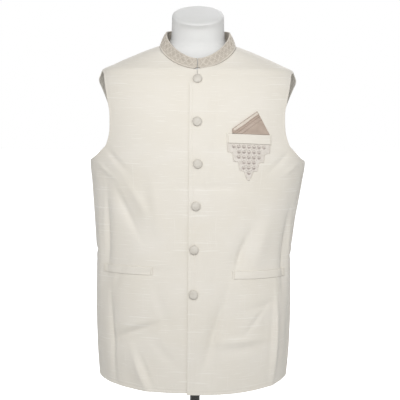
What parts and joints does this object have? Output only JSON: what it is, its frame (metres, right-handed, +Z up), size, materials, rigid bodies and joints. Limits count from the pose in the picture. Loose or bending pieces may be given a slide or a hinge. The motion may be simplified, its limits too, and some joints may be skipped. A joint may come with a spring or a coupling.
{
  "type": "waistcoat on a limbless dress form",
  "caption": "Sleeveless buttoned waistcoat with a stand collar and pocket square, worn by a white limbless dress form on a pole and round base.",
  "frame": {"origin": "centre of the round base's underside, on the surface it stands on, straight below the neck", "axes": "+Z up through the pole and the neck; -Y is the buttoned front; +X is the wearer's left side"},
  "size_m": [0.45, 0.33, 0.9742],
  "materials": {
    "cream_cloth": "slubbed cream suiting, soft sheen",
    "embroidered_band": "beige cloth covered in tone-on-tone stitching",
    "taupe_satin": "taupe satin, soft gloss",
    "covered_button": "cloth-covered dome, satin",
    "white_form": "smooth white, satin gloss",
    "black_metal": "black powder coat"
  },
  "bodies": {
    "root": {"front_left": "cream_cloth", "front_right": "cream_cloth", "back": "cream_cloth", "collar": "embroidered_band", "chest_welt": "cream_cloth", "chest_patch": "embroidered_band", "pocket_square": "taupe_satin", "hip_welt_left": "cream_cloth", "hip_welt_right": "cream_cloth", "button_1": "covered_button", "button_2": "covered_button", "button_3": "covered_button", "button_4": "covered_button", "button_5": "covered_button", "button_6": "covered_button", "dress_form": "white_form", "pole": "black_metal", "base": "black_metal"}
  },
  "joints": []
}
